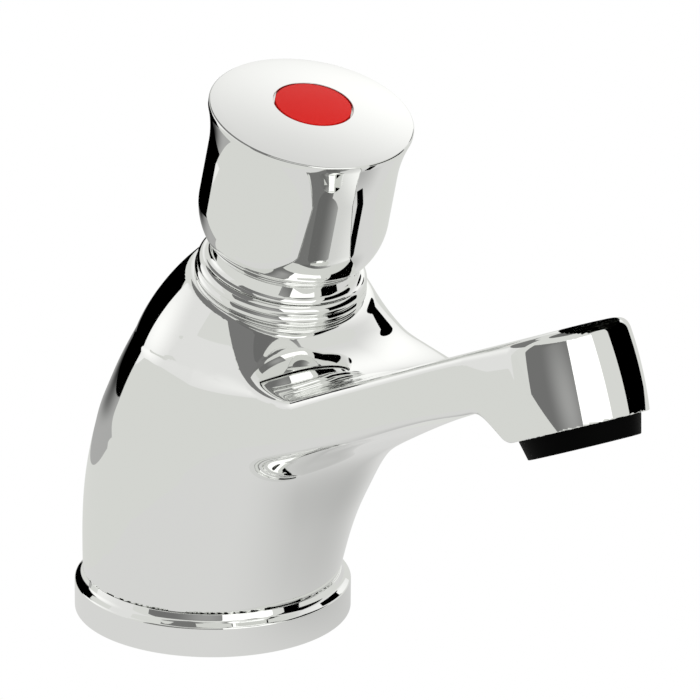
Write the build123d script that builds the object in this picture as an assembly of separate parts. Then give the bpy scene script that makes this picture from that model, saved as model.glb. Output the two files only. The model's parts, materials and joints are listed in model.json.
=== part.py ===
from build123d import *
import os
from math import acos, asin, atan, atan2, ceil, cos, hypot, pi, radians, sin, sqrt, tan

# A push timed basin tap: a leaning cast body with a rising spout, a round push button,
# and a self closing cartridge under it.
# Millimetres. The origin is the middle of the base on the deck, +Z up, the spout along -Y.

# Driving sizes of the outside
base_radius = 25.0
base_wall_height = 5.6
base_rise = 2.0
base_edge = 0.4
trunk_radius = 23.45
shoulder_step_count = 7
shoulder_roundness = 1.55
head_tilt = 15.82
head_setback = 1.65
collar_seat_distance = 70.9
collar_radius = 15.2
spout_rise_angle = 24.88
outlet_reach = 107.06
outlet_height = 68.18
nose_radius = 11.65
nose_height = 15.5
spout_wall_run_share = 0.9148
button_rim_radius = 17.8
button_waist_radius = 16.5
button_stroke = 3.0

# Clearances and the overrun of cuts
slide_clearance = 0.06
seat_clearance = 0.03
curve_clearance = 0.12
rest_gap = 0.15
cut_overrun = 2.0
flush_inset = 0.06

# Deck fixing
tail_thread_radius = 10.48
tail_bore_radius = 6.0
tail_length_below_deck = 52.0
tail_screw_in = 10.0
tail_end_chamfer = 1.0
tail_relief_width = 1.4
tail_relief_depth = 0.9
tail_free_length = 26.0
gasket_radius = 21.5
gasket_thickness = 1.6
deck_grip = 16.0
backnut_width = 30.0
backnut_height = 7.0
backnut_washer_radius = 16.0
backnut_washer_thickness = 1.5

# Inlet
strainer_flange_thickness = 1.2
strainer_flange_radius = 9.0
strainer_cup_radius = 5.2
strainer_cup_depth = 11.0
strainer_wall = 0.9
strainer_slot_width = 1.4
strainer_slot_count = 6
regulator_radius = 4.1
regulator_thickness = 2.0
regulator_hole_radius = 0.8
regulator_hole_ring_radius = 2.5
regulator_hole_count = 4
regulator_centre_hole_radius = 0.9

# Cartridge. The shares are of the collar seat's distance along the leaning head axis.
chamber_floor_share = 0.409
valve_seat_share = 0.4993
relief_bottom_share = 0.5106
relief_top_share = 0.6065
piston_bottom_share = 0.7419
piston_top_share = 0.8152
bonnet_thread_share = 0.8463
piston_crown_share = 0.8575
inlet_bore_radius = 5.6
chamber_radius = 10.0
chamber_relief_radius = 11.6
bonnet_thread_radius = 12.4
waterway_radius = 3.2
housing_wall = 1.9
housing_flange_thickness = 1.8
bonnet_gasket_thickness = 0.8
housing_window_radius = 2.2
housing_window_count = 4
valve_seat_thickness = 2.2
valve_seat_lip_height = 0.5
valve_seat_lip_width = 0.7
valve_seat_bore_radius = 4.4
spring_ledge_thickness = 1.6
ring_cord_radius = 0.9
ring_sides = 8
ring_turn = 22.5
main_spring_turns = 4
main_spring_wire_radius = 0.4
wire_sides = 6
main_spring_coil_radius = 5.0
piston_crown_radius = 4.9
cup_seal_height = 1.6
cup_seal_depth = 1.3
spindle_radius = 1.8
washer_radius = 6.4
washer_thickness = 2.0
washer_plate_thickness = 1.0
washer_plate_radius = 5.6
washer_nut_width = 5.5
washer_nut_height = 2.0
timing_pin_radius = 0.45
timing_pin_head_radius = 0.9
timing_pin_head_height = 0.6
timing_pin_place = 3.2

# Bonnet collar and what it holds
bead_height = 1.85
bead_bulge = 0.35
bead_steps = 5
cove_steps = 4
cove_radius = 1.3
neck_radius = 12.9
neck_wall = 2.2
neck_height = 19.1
bonnet_web_depth = 4.4
bonnet_web_height = 7.1
bush_radius = 5.2
bush_flange_radius = 7.6
bush_flange_thickness = 1.4
stem_radius = 2.5
stem_socket_depth = 2.0
stem_seal_height = 1.8
stem_seal_ledge = 1.6
stem_seal_ledge_radius = 3.4
return_spring_turns = 5
return_spring_wire_radius = 0.5
return_spring_coil_radius = 5.4
spring_cup_radius = 7.4
spring_cup_thickness = 1.0
spring_cup_height = 23.3
clip_thickness = 0.9
clip_radius = 4.2
clip_groove_depth = 0.5

# Button, with its heights above the collar seat
button_mouth_height = 7.3
button_rim_height = 33.5
button_cavity_height = 32.1
button_belly_radius = 12.1
button_belly_height = 8.0
button_belly_swell = 0.08
button_flare_height = 8.0
button_rim_band = 0.6
button_edge = 0.4
profile_steps = 4
button_dome_rise = 1.9
button_mouth_radius = 13.25
button_cavity_radius = 14.2
button_lip_height = 2.4
button_boss_radius = 4.6
indice_radius = 6.83
indice_thickness = 1.5
indice_gap = 0.12
indice_notch_radius = 0.7
indice_notch_angle = 58.0
screw_shank_radius = 1.6
screw_head_radius = 3.0
screw_head_height = 1.9
screw_slot_width = 0.8
screw_slot_depth = 0.8
screw_grip = 5.0

# Outlet
insert_top_radius = 10.24
insert_bottom_radius = 9.44
insert_drop = 3.43
insert_thread_radius = 9.2
insert_thread_height = 6.5
insert_bore_radius = 7.0
nose_bore_depth = 8.2
straightener_height = 3.0
straightener_rim = 0.9
straightener_rib = 0.8
straightener_pitch = 2.4
screen_thickness = 0.6
screen_hole_radius = 0.5
screen_hole_sides = 6
screen_ring_step = 1.7
screen_ring_count = 3

# The trunk's sections from the foot to the shoulder. Each row holds shares of the seat's
# height, its lean, the trunk's radius behind, the same in front, the wall's half width
# and, for the front corners, that half width.
trunk_section_shares = [
    (0.112, 0.000, 1.000, 1.000, 0.981, 0.996),
    (0.235, 0.000, 1.000, 1.151, 0.992, 0.895),
    (0.367, 0.060, 1.002, 1.273, 0.998, 0.743),
    (0.499, 0.205, 1.006, 1.348, 1.000, 0.500),
    (0.631, 0.419, 0.998, 1.518, 1.000, 0.210),
    (0.733, 0.596, 0.977, 1.450, 1.000, 0.120),
    (0.836, 0.825, 0.942, 1.232, 1.000, 0.110),
]
# Shares of the outlet reach and the nose height along the spout's underside.
underside_shares = [
    (0.728, 0.155),
    (0.618, 0.258),
    (0.520, 0.342),
    (0.419, 0.381),
    (0.318, 0.406),
    (0.220, 0.419),
    (0.171, 0.410),
    (0.124, 0.386),
    (0.078, 0.310),
    (0.050, 0.160),
    (0.042, 0.000),
]
# Shares of the outlet reach and the nose height where the top sweeps up into the shoulder.
top_sweep_shares = [(0.440, 1.000), (0.553, 1.129), (0.604, 1.297)]
spout_root_share = 0.600

tilt = radians(head_tilt)
rise = radians(spout_rise_angle)
spout_wall = atan((trunk_radius - nose_radius) / (outlet_reach * spout_wall_run_share))
head_plane = Plane(origin=(0, -head_setback, 0), x_dir=(1, 0, 0), z_dir=(0, -sin(tilt), cos(tilt)))
spout_plane = Plane(
    origin=(0, -outlet_reach, outlet_height), x_dir=(1, 0, 0), z_dir=(0, sin(rise), cos(rise))
)

# Places along the head axis
chamber_floor_distance = collar_seat_distance * chamber_floor_share
valve_seat_distance = collar_seat_distance * valve_seat_share
chamber_relief_bottom = collar_seat_distance * relief_bottom_share
chamber_relief_top = collar_seat_distance * relief_top_share
bonnet_thread_distance = collar_seat_distance * bonnet_thread_share
bonnet_web_bottom = collar_seat_distance - bonnet_web_depth
bonnet_web_top = collar_seat_distance + bonnet_web_height
neck_top_distance = collar_seat_distance + neck_height
spring_cup_distance = collar_seat_distance + spring_cup_height
button_mouth_distance = collar_seat_distance + button_mouth_height
button_rim_distance = collar_seat_distance + button_rim_height
button_cavity_top = collar_seat_distance + button_cavity_height

foot_height = base_wall_height + base_rise
head_height = collar_seat_distance * cos(tilt)
head_lean = head_setback + collar_seat_distance * sin(tilt)


def on_head(solid):
    return head_plane.location * solid


def on_spout(solid):
    return spout_plane.location * solid


def write(solid, node):
    solid.label = node
    export_step(solid, os.path.join("parts", node + ".step"))


def turned(*outline):
    # A closed outline of (radius, height) points turned about Z
    edge = Plane.XZ * Polyline(*outline, close=True)
    return revolve(make_face(edge), Axis.Z)


def tube(outer, inner, bottom, top):
    return turned((inner, bottom), (outer, bottom), (outer, top), (inner, top))


def rod(radius, bottom, top):
    return turned((0, bottom), (radius, bottom), (radius, top), (0, top))


def ring_seal(middle_radius, height, cord_radius):
    # A cord pressed a little flat in its groove
    cord = Plane.XZ * Pos(middle_radius, height) * RegularPolygon(cord_radius, ring_sides, rotation=ring_turn)
    return revolve(cord, Axis.Z)


def wall_half_width(y, z):
    # Half the spout's width where its flat side walls pass the point (y, z)
    back = (y + outlet_reach) * cos(rise) - (z - outlet_height) * sin(rise)
    return nose_radius / cos(spout_wall) + back * tan(spout_wall)


def trunk_section(plane, rear_radius, reach, half_width, corner):
    # A round back, straight sides that touch it, and a front with rounded corners
    distance = hypot(half_width, reach)
    touch = atan2(-reach, half_width) + acos(rear_radius / distance)
    side_end = Vector(rear_radius * cos(touch), rear_radius * sin(touch))
    tip = Vector(half_width, -reach)
    along = (side_end - tip).normalized()
    turn = acos(-along.X)
    setback = corner / tan(turn / 2)
    side_start = tip + along * setback
    front_end = tip + Vector(-1, 0) * setback
    edges = [
        ThreePointArc(side_end, (0, rear_radius), (-side_end.X, side_end.Y)),
        Line((-side_end.X, side_end.Y), (-side_start.X, side_start.Y)),
        TangentArc(
            (-side_start.X, side_start.Y),
            (-front_end.X, front_end.Y),
            tangent=(along.X, -along.Y),
        ),
        Line((-front_end.X, front_end.Y), (front_end.X, front_end.Y)),
        TangentArc((front_end.X, front_end.Y), (side_start.X, side_start.Y), tangent=(1, 0)),
        Line((side_start.X, side_start.Y), (side_end.X, side_end.Y)),
    ]
    return plane * make_face(Wire(edges))


def section_plane(lean, height, slope):
    return Plane(origin=(0, -lean, height), x_dir=(1, 0, 0), z_dir=(0, -sin(slope), cos(slope)))


def trunk_form():
    sizes = []
    for row in trunk_section_shares:
        height_share, lean_share, back_share, front_share, width_share, corner_share = row
        lean = head_lean * lean_share
        height = head_height * height_share
        reach = trunk_radius * front_share
        half_width = wall_half_width(-lean - reach, height) * width_share
        corner = min(half_width, reach) * corner_share
        sizes.append((lean, height, trunk_radius * back_share, reach, half_width, corner))
    trunk = loft([trunk_section(section_plane(size[0], size[1], 0), *size[2:]) for size in sizes], ruled=True)
    # The shoulder closes in from the trunk's last section to the collar's round seat
    round_corner = collar_radius * trunk_section_shares[0][-1]
    seat = (head_lean, head_height, collar_radius, collar_radius, collar_radius, round_corner)
    sections = []
    for step in range(shoulder_step_count + 1):
        part = step / shoulder_step_count
        closing = [part, part, part**shoulder_roundness, part**shoulder_roundness, part, part]
        size = [low + (high - low) * share for low, high, share in zip(sizes[-1], seat, closing)]
        sections.append(trunk_section(section_plane(size[0], size[1], tilt * part), *size[2:]))
    return trunk + loft(sections, ruled=True)


def spout_form():
    root = outlet_reach * spout_root_share
    touch_x = nose_radius * cos(spout_wall)
    touch_y = nose_radius * sin(spout_wall)
    root_x = nose_radius / cos(spout_wall) + root * tan(spout_wall) - flush_inset
    outline = Wire(
        [
            Line((root_x, root), (touch_x, touch_y)),
            ThreePointArc((touch_x, touch_y), (0, -nose_radius), (-touch_x, touch_y)),
            Line((-touch_x, touch_y), (-root_x, root)),
            Line((-root_x, root), (root_x, root)),
        ]
    )
    prism = extrude(make_face(outline), 2 * nose_height)
    under = [(outlet_reach * back, nose_height * up) for back, up in underside_shares]
    top = [(outlet_reach * back, nose_height * up) for back, up in top_sweep_shares]
    front = -nose_radius - cut_overrun
    side = Wire(
        [
            Spline(*under),
            Line(under[-1], (front, 0)),
            Line((front, 0), (front, nose_height)),
            Line((front, nose_height), top[0]),
            TangentArc(top[0], top[1], tangent=(1, 0)),
            Line(top[1], top[2]),
            Line(top[2], (under[0][0], top[2][1])),
            Line((under[0][0], top[2][1]), under[0]),
        ]
    )
    slab = extrude(Plane.YZ * make_face(side), root_x, both=True)
    nose = Cylinder(nose_radius, nose_height, align=(Align.CENTER, Align.CENTER, Align.MIN))
    return on_spout((prism & slab) + nose)


def body_waterways():
    # The socket for the tail, the inlet, the chamber, the spout's bore and the outlet's bore
    screw_in_top = foot_height + tail_screw_in
    ledge_top = screw_in_top + strainer_flange_thickness + 2 * seat_clearance
    socket = Cylinder(
        tail_thread_radius + seat_clearance,
        ledge_top - foot_height + cut_overrun,
        align=(Align.CENTER, Align.CENTER, Align.MIN),
    )
    socket = Pos(0, 0, foot_height - cut_overrun) * socket
    inlet = on_head(rod(inlet_bore_radius, ledge_top, chamber_floor_distance + cut_overrun))
    riser = Pos(0, 0, ledge_top - cut_overrun) * Cylinder(
        inlet_bore_radius,
        2 * cut_overrun + inlet_bore_radius,
        align=(Align.CENTER, Align.CENTER, Align.MIN),
    )
    chamber = on_head(
        turned(
            (0, chamber_floor_distance),
            (chamber_radius, chamber_floor_distance),
            (chamber_radius, chamber_relief_bottom),
            (chamber_relief_radius, chamber_relief_bottom),
            (chamber_relief_radius, chamber_relief_top),
            (chamber_radius, chamber_relief_top),
            (chamber_radius, bonnet_thread_distance),
            (bonnet_thread_radius, bonnet_thread_distance),
            (bonnet_thread_radius, collar_seat_distance + cut_overrun),
            (0, collar_seat_distance + cut_overrun),
        )
    )
    # The spout's bore runs along the middle of the spout's thickness to the chamber
    bore_height = nose_height * (1 + underside_shares[5][1]) / 2
    relief_middle = (chamber_relief_bottom + chamber_relief_top) / 2
    chamber_point = head_plane.from_local_coords(Vector(0, 0, relief_middle))
    local = spout_plane.to_local_coords(chamber_point)
    start = Vector(0, 0, bore_height)
    run = Vector(0, local.Y, local.Z) - start
    spout_bore = Plane(origin=start, z_dir=run) * Cylinder(
        waterway_radius, run.length, align=(Align.CENTER, Align.CENTER, Align.MIN)
    )
    outlet_bore = Cylinder(
        insert_thread_radius + seat_clearance,
        nose_bore_depth + cut_overrun,
        align=(Align.CENTER, Align.CENTER, Align.MIN),
    )
    outlet_bore = Pos(0, 0, -cut_overrun) * outlet_bore
    gallery = Cylinder(
        insert_bore_radius, bore_height + waterway_radius / 2, align=(Align.CENTER, Align.CENTER, Align.MIN)
    )
    return [socket, riser, inlet, chamber, on_spout(spout_bore), on_spout(outlet_bore + gallery)]


def tap_body():
    body = trunk_form() + spout_form()
    for hollow in body_waterways():
        body = body - hollow
    return body


def base_plate():
    seat_radius = trunk_radius - rest_gap
    hole = tail_thread_radius + curve_clearance
    recess = gasket_thickness
    return turned(
        (hole, recess),
        (gasket_radius + seat_clearance, recess),
        (gasket_radius + seat_clearance, 0),
        (base_radius, 0),
        (base_radius, base_wall_height - base_edge),
        (base_radius - base_edge, base_wall_height),
        (seat_radius, foot_height - seat_clearance),
        (hole, foot_height - seat_clearance),
    )


def base_gasket():
    hole = tail_thread_radius + curve_clearance
    return tube(gasket_radius, hole, 0, gasket_thickness - seat_clearance)


def inlet_tail():
    top = foot_height + tail_screw_in
    bottom = -tail_length_below_deck
    # A relief parts the backnut's thread from the free end that the supply screws to
    relief = bottom + tail_free_length
    relief_radius = tail_thread_radius - tail_relief_depth
    return turned(
        (tail_bore_radius, bottom),
        (tail_thread_radius - tail_end_chamfer, bottom),
        (tail_thread_radius, bottom + tail_end_chamfer),
        (tail_thread_radius, relief),
        (relief_radius, relief),
        (relief_radius, relief + tail_relief_width),
        (tail_thread_radius, relief + tail_relief_width),
        (tail_thread_radius, top),
        (tail_bore_radius, top),
    )


def backnut():
    top = -deck_grip - backnut_washer_thickness - seat_clearance
    hexagon = RegularPolygon(backnut_width / 2, 6, major_radius=False)
    nut = extrude(Pos(0, 0, top - backnut_height) * hexagon, backnut_height)
    corner = backnut_width / 2 / cos(pi / 6)
    edge = corner - backnut_width / 2
    cap = turned(
        (0, top - backnut_height),
        (corner - edge, top - backnut_height),
        (corner + edge, top - backnut_height + edge + edge),
        (corner + edge, top - edge - edge),
        (corner - edge, top),
        (0, top),
    )
    hole = rod(tail_thread_radius + curve_clearance, top - backnut_height - cut_overrun, top + cut_overrun)
    return (nut & cap) - hole


def backnut_washer():
    bottom = -deck_grip - backnut_washer_thickness
    return tube(backnut_washer_radius, tail_thread_radius + curve_clearance, bottom, -deck_grip)


def inlet_strainer():
    # A cup hung by its flange in the top of the tail, with slots in its wall
    flange_bottom = foot_height + tail_screw_in + seat_clearance
    flange_top = flange_bottom + strainer_flange_thickness
    cup_bottom = flange_bottom - strainer_cup_depth
    mouth = regulator_radius + seat_clearance
    cup = turned(
        (0, cup_bottom),
        (strainer_cup_radius, cup_bottom),
        (strainer_cup_radius, flange_bottom),
        (strainer_flange_radius, flange_bottom),
        (strainer_flange_radius, flange_top),
        (mouth, flange_top),
        (mouth, flange_top - regulator_thickness),
        (strainer_cup_radius - strainer_wall - strainer_wall / 2, flange_top - regulator_thickness),
        (strainer_cup_radius - strainer_wall - strainer_wall / 2, cup_bottom + strainer_wall),
        (0, cup_bottom + strainer_wall),
    )
    slot_height = strainer_cup_depth - regulator_thickness - 2 * strainer_wall
    slot = Box(
        strainer_cup_radius,
        strainer_slot_width,
        slot_height,
        align=(Align.MIN, Align.CENTER, Align.MIN),
    )
    for turn in range(strainer_slot_count):
        angle = 360 * turn / strainer_slot_count
        cup = cup - Pos(0, 0, cup_bottom + strainer_wall) * Rot(0, 0, angle) * (
            Pos(strainer_cup_radius / 2, 0, 0) * slot
        )
    return cup


def flow_regulator():
    flange_top = foot_height + tail_screw_in + seat_clearance + strainer_flange_thickness
    disc = rod(regulator_radius, flange_top - regulator_thickness + seat_clearance, flange_top)
    hole = Cylinder(regulator_hole_radius, 2 * strainer_cup_depth)
    for turn in range(regulator_hole_count):
        angle = 360 * turn / regulator_hole_count
        disc = disc - Pos(0, 0, flange_top) * Rot(0, 0, angle) * (
            Pos(regulator_hole_ring_radius, 0, 0) * hole
        )
    return disc - Pos(0, 0, flange_top) * Cylinder(regulator_centre_hole_radius, 2 * strainer_cup_depth)


# Places along the head axis that several cartridge pieces share
housing_radius = chamber_radius - seat_clearance
housing_bore = housing_radius - housing_wall
housing_bottom = chamber_floor_distance + seat_clearance
housing_flange_top = bonnet_thread_distance + housing_flange_thickness + seat_clearance
relief_middle_distance = (chamber_relief_bottom + chamber_relief_top) / 2
housing_relief = housing_wall / 2
lower_ring_distance = chamber_floor_distance + 2 * ring_cord_radius + housing_wall / 2
upper_ring_distance = chamber_relief_top + 2 * ring_cord_radius + housing_wall / 2
ring_groove_depth = 2 * ring_cord_radius + curve_clearance
spring_ledge_top = chamber_relief_top + spring_ledge_thickness
piston_bottom = collar_seat_distance * piston_bottom_share
piston_top = collar_seat_distance * piston_top_share
crown_top = collar_seat_distance * piston_crown_share
piston_height = piston_top - piston_bottom
main_spring_length = piston_bottom - spring_ledge_top
washer_top = valve_seat_distance - rest_gap
washer_bottom = washer_top - washer_thickness
plate_bottom = washer_bottom - washer_plate_thickness
spindle_bottom = plate_bottom - washer_nut_height


def ring_groove(height):
    return (
        (housing_radius, height - ring_cord_radius - curve_clearance),
        (housing_radius - ring_groove_depth, height - ring_cord_radius - curve_clearance),
        (housing_radius - ring_groove_depth, height + ring_cord_radius + curve_clearance),
        (housing_radius, height + ring_cord_radius + curve_clearance),
    )


def cartridge_housing():
    # The sleeve thickens inwards behind its two ring grooves
    thick_bore = housing_bore - housing_wall / 2
    shell = turned(
        (thick_bore, housing_bottom),
        (housing_radius, housing_bottom),
        *ring_groove(lower_ring_distance),
        (housing_radius, chamber_relief_bottom),
        (housing_radius - housing_relief, chamber_relief_bottom + housing_relief),
        (housing_radius - housing_relief, chamber_relief_top - housing_relief),
        (housing_radius, chamber_relief_top),
        *ring_groove(upper_ring_distance),
        (housing_radius, bonnet_thread_distance + seat_clearance),
        (bonnet_thread_radius - rest_gap, bonnet_thread_distance + seat_clearance),
        (bonnet_thread_radius - rest_gap, housing_flange_top),
        (thick_bore, housing_flange_top),
    )
    window = Rot(0, 90, 0) * Cylinder(
        housing_window_radius, housing_radius + cut_overrun, align=(Align.CENTER, Align.CENTER, Align.MIN)
    )
    for turn in range(housing_window_count):
        angle = 360 * (turn + 0.5) / housing_window_count
        shell = shell - Pos(0, 0, relief_middle_distance + housing_relief) * Rot(0, 0, angle) * window
    return on_head(shell)


sleeve_bore = housing_radius - housing_wall - housing_wall / 2


def valve_seat():
    # The water passes up through this ring; the washer closes it from below
    lip = valve_seat_bore_radius + valve_seat_lip_width
    bottom = valve_seat_distance + valve_seat_lip_height
    seat = turned(
        (valve_seat_bore_radius, valve_seat_distance),
        (lip, valve_seat_distance),
        (lip, bottom),
        (sleeve_bore - seat_clearance, bottom),
        (sleeve_bore - seat_clearance, bottom + valve_seat_thickness),
        (valve_seat_bore_radius, bottom + valve_seat_thickness),
    )
    return on_head(seat)


def spring_ledge():
    bore = spindle_radius + slide_clearance
    ledge = turned(
        (bore, chamber_relief_top),
        (sleeve_bore - seat_clearance, chamber_relief_top),
        (sleeve_bore - seat_clearance, spring_ledge_top),
        (bore, spring_ledge_top),
    )
    return on_head(ledge)


def housing_ring(height):
    middle = housing_radius - ring_cord_radius
    return on_head(ring_seal(middle, height, ring_cord_radius - seat_clearance))


def valve_spindle():
    shoulder = spindle_radius + spindle_radius / 2
    spindle = turned(
        (0, spindle_bottom),
        (spindle_radius, spindle_bottom),
        (spindle_radius, piston_bottom + piston_height / 2),
        (0, piston_bottom + piston_height / 2),
    )
    backing = turned(
        (spindle_radius, washer_top),
        (shoulder, washer_top),
        (shoulder, washer_top + spindle_radius),
        (spindle_radius, washer_top + spindle_radius + spindle_radius / 2),
    )
    return on_head(spindle + backing)


def seat_washer():
    inner = spindle_radius + seat_clearance
    return on_head(tube(washer_radius, inner, washer_bottom + seat_clearance, washer_top - seat_clearance))


def washer_plate():
    inner = spindle_radius + seat_clearance
    return on_head(tube(washer_plate_radius, inner, plate_bottom + seat_clearance, washer_bottom))


def washer_nut():
    hexagon = RegularPolygon(washer_nut_width / 2, 6, major_radius=False)
    nut = Pos(0, 0, spindle_bottom) * extrude(hexagon, washer_nut_height)
    hole = rod(spindle_radius + seat_clearance, spindle_bottom - cut_overrun, plate_bottom + cut_overrun)
    return on_head(nut - hole)


piston_radius = sleeve_bore - slide_clearance
piston_pocket = spindle_radius + seat_clearance
cup_seal_middle = piston_bottom + piston_height / 2


def piston():
    # The seal's groove is in the rim, the spindle's socket is below and the stem rests on the crown
    groove = piston_radius - cup_seal_depth
    form = turned(
        (0, cup_seal_middle + seat_clearance),
        (piston_pocket, cup_seal_middle + seat_clearance),
        (piston_pocket, piston_bottom),
        (piston_radius, piston_bottom),
        (piston_radius, cup_seal_middle - cup_seal_height / 2),
        (groove, cup_seal_middle - cup_seal_height / 2),
        (groove, cup_seal_middle + cup_seal_height / 2),
        (piston_radius, cup_seal_middle + cup_seal_height / 2),
        (piston_radius, piston_top),
        (piston_crown_radius, piston_top),
        (piston_crown_radius, crown_top),
        (0, crown_top),
    )
    bleed = Pos(timing_pin_place + timing_pin_radius, 0, 0) * rod(
        timing_pin_radius + slide_clearance, piston_bottom - cut_overrun, crown_top + cut_overrun
    )
    return on_head(form - bleed)


def piston_cup_seal():
    inner = piston_radius - cup_seal_depth + seat_clearance
    low = cup_seal_middle - cup_seal_height / 2 + seat_clearance
    high = cup_seal_middle + cup_seal_height / 2 - seat_clearance
    lip = sleeve_bore - slide_clearance / 2
    seal = turned(
        (inner, low),
        (piston_radius, low),
        (lip, high - cup_seal_height / 4),
        (lip, high),
        (inner, high),
    )
    return on_head(seal)


def timing_pin():
    place = timing_pin_place + timing_pin_radius
    pin = turned(
        (0, piston_bottom + rest_gap),
        (timing_pin_radius, piston_bottom + rest_gap),
        (timing_pin_radius, crown_top + seat_clearance),
        (timing_pin_head_radius, crown_top + seat_clearance),
        (timing_pin_head_radius, crown_top + timing_pin_head_height),
        (0, crown_top + timing_pin_head_height),
    )
    return on_head(Pos(place, 0, 0) * pin)


def spring_points(coil_radius, turns, length, wire_radius):
    # Points and directions every quarter turn of a helix between its two end planes
    rise_length = length - 2 * wire_radius
    quarters = turns * 4
    places = []
    for step in range(quarters + 1):
        angle = pi / 2 * step
        height = wire_radius + rise_length * step / quarters
        point = Vector(coil_radius * cos(angle), coil_radius * sin(angle), height)
        climb = rise_length / (2 * pi * turns)
        heading = Vector(-coil_radius * sin(angle), coil_radius * cos(angle), climb).normalized()
        places.append((point, heading))
    return places


def biarc(start, start_heading, end, end_heading):
    # Two arcs that meet smoothly and leave and arrive in the given directions
    span = end - start
    both = start_heading + end_heading
    bend = 2 * (1 - start_heading.dot(end_heading))
    pull = span.dot(both)
    reach = (sqrt(pull * pull + bend * span.dot(span)) - pull) / bend
    middle = (start + end) * 0.5 + (start_heading - end_heading) * (reach / 2)
    first = TangentArc(start, middle, tangent=start_heading)
    second = TangentArc(middle, end, tangent=first % 1)
    return [first, second]


def coil_spring(coil_radius, turns, length, wire_radius):
    places = spring_points(coil_radius, turns, length, wire_radius)
    edges = []
    for (start, start_heading), (end, end_heading) in zip(places, places[1:]):
        edges = edges + biarc(start, start_heading, end, end_heading)
    first_point, first_heading = places[0]
    section = Plane(origin=first_point, z_dir=first_heading) * RegularPolygon(wire_radius, wire_sides)
    pitch = (length - 2 * wire_radius) / turns
    print("spring, least gap between turns in mm:", round(pitch - 2 * wire_radius, 2))
    return sweep(section, path=Wire(edges))


def main_spring():
    coil = coil_spring(
        main_spring_coil_radius,
        main_spring_turns,
        main_spring_length - 2 * rest_gap,
        main_spring_wire_radius,
    )
    return on_head(Pos(0, 0, spring_ledge_top + rest_gap) * coil)


stem_bottom = crown_top + rest_gap
bush_bottom = bonnet_web_bottom + stem_seal_ledge + stem_seal_height
bush_top = bonnet_web_top + bush_flange_thickness
bonnet_bottom = housing_flange_top + bonnet_gasket_thickness + 2 * seat_clearance
cup_top = spring_cup_distance + spring_cup_thickness
clip_bottom = cup_top + seat_clearance
clip_top = clip_bottom + clip_thickness
boss_bottom = clip_top + rest_gap
stem_top = boss_bottom + stem_socket_depth


def bonnet_gasket():
    bottom = housing_flange_top + seat_clearance
    inner = sleeve_bore + curve_clearance
    outer = bonnet_thread_radius - curve_clearance
    return on_head(tube(outer, inner, bottom, bottom + bonnet_gasket_thickness))


def bead(low_radius, low, high_radius, high):
    # Points up a rounded bead that bulges out between two heights
    points = []
    for step in range(bead_steps):
        share = step / bead_steps
        swell = bead_bulge * sin(pi * share)
        points.append((low_radius + (high_radius - low_radius) * share + swell, low + (high - low) * share))
    return points


def bonnet_collar():
    # Two rounded beads on the body's lip, a hollow cove, then the neck that the button slides over
    seat = collar_seat_distance + seat_clearance
    bead_join = seat + bead_height
    cove_bottom = bead_join + bead_height
    cove_foot = neck_radius + cove_radius
    cove_top = cove_bottom + cove_radius
    lower_edge = collar_radius - bead_bulge
    cove = []
    for step in range(cove_steps + 1):
        turn = pi / 2 * step / cove_steps
        cove.append((cove_foot - cove_radius * sin(turn), cove_top - cove_radius * cos(turn)))
    tail_radius = bonnet_thread_radius - seat_clearance
    inside = neck_radius - neck_wall
    bush_bore = bush_radius + seat_clearance
    seal_floor = bonnet_web_bottom + stem_seal_ledge
    collar = turned(
        (tail_radius, seat),
        *bead(lower_edge, seat, lower_edge, bead_join),
        *bead(lower_edge, bead_join, cove_foot, cove_bottom),
        *cove,
        (neck_radius, neck_top_distance),
        (inside, neck_top_distance),
        (inside, bonnet_web_top),
        (bush_bore, bonnet_web_top),
        (bush_bore, seal_floor),
        (stem_seal_ledge_radius, seal_floor),
        (stem_seal_ledge_radius, bonnet_web_bottom),
        (sleeve_bore, bonnet_web_bottom),
        (sleeve_bore, bonnet_bottom),
        (tail_radius, bonnet_bottom),
    )
    return on_head(collar)


def stem_seal():
    floor = bonnet_web_bottom + stem_seal_ledge + seat_clearance
    outer = bush_radius - seat_clearance
    return on_head(tube(outer, stem_radius + slide_clearance, floor, bush_bottom - seat_clearance))


def stem_bush():
    bore = stem_radius + slide_clearance
    flange_bottom = bonnet_web_top + seat_clearance
    bush = turned(
        (bore, bush_bottom),
        (bush_radius, bush_bottom),
        (bush_radius, flange_bottom),
        (bush_flange_radius, flange_bottom),
        (bush_flange_radius, bush_top),
        (bore, bush_top),
    )
    return on_head(bush)


def push_stem():
    socket = screw_shank_radius + seat_clearance
    groove = stem_radius - clip_groove_depth
    stem = turned(
        (0, stem_bottom),
        (stem_radius, stem_bottom),
        (stem_radius, clip_bottom - seat_clearance),
        (groove, clip_bottom - seat_clearance),
        (groove, clip_top + seat_clearance),
        (stem_radius, clip_top + seat_clearance),
        (stem_radius, stem_top),
        (socket, stem_top),
        (socket, stem_top - screw_grip - rest_gap),
        (0, stem_top - screw_grip - rest_gap),
    )
    return on_head(stem)


def spring_cup():
    # A small dished washer under the clip that the return spring lifts
    inner = stem_radius + seat_clearance
    guide = return_spring_coil_radius - return_spring_wire_radius - curve_clearance
    cup = turned(
        (inner, spring_cup_distance - spring_cup_thickness),
        (guide, spring_cup_distance - spring_cup_thickness),
        (guide, spring_cup_distance),
        (spring_cup_radius, spring_cup_distance),
        (spring_cup_radius, cup_top),
        (inner, cup_top),
    )
    return on_head(cup)


def stem_clip():
    ring = tube(clip_radius, stem_radius - clip_groove_depth + seat_clearance, clip_bottom, clip_top)
    opening = Box(
        2 * clip_radius,
        2 * (stem_radius - clip_groove_depth),
        4 * clip_thickness,
        align=(Align.MIN, Align.CENTER, Align.CENTER),
    )
    return on_head(ring - Pos(0, 0, clip_bottom) * opening)


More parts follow.
